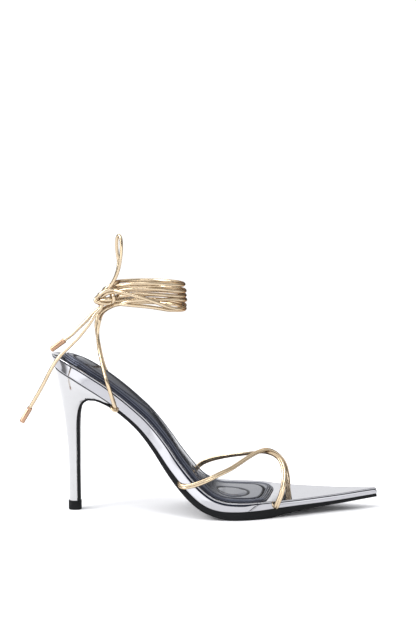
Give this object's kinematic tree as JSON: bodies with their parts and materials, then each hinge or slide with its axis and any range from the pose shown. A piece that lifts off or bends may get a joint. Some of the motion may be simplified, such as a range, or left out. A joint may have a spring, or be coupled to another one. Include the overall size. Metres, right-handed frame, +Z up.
{
  "type": "stiletto sandal",
  "caption": "Pointed-toe stiletto sandal with a mirror-silver board and heel, a padded black footbed, crossed gold toe straps and a gold lace wound and tied round the ankle.",
  "frame": {"origin": "on the ground under the middle of the shoe's box, the free lace pieces left out", "axes": "+X to the toe, +Y to the wearer's midline (the medial side), +Z up"},
  "size_m": [0.2463, 0.0739, 0.1946],
  "materials": {
    "silver_wrap": "mirror-silver coated synthetic leather",
    "silver_heel": "mirror-silver coated moulded heel",
    "black_leather": "smooth, embossed lines",
    "black_rubber": "satin",
    "gold_cord": "metallic champagne-gold round cord",
    "peach_gold_metal": "satin peach gold"
  },
  "bodies": {
    "root": {"outsole": "black_rubber", "insole_board": "silver_wrap", "sock": "black_leather", "heel": "silver_heel", "top_lift": "black_rubber", "toe_straps": "gold_cord", "ankle_wraps": "gold_cord", "lace_knot": "gold_cord", "lace_bow_loop": "gold_cord", "lace_end_upper": "gold_cord", "lace_end_lower": "gold_cord", "aglet_upper": "peach_gold_metal", "aglet_lower": "peach_gold_metal"}
  },
  "joints": []
}
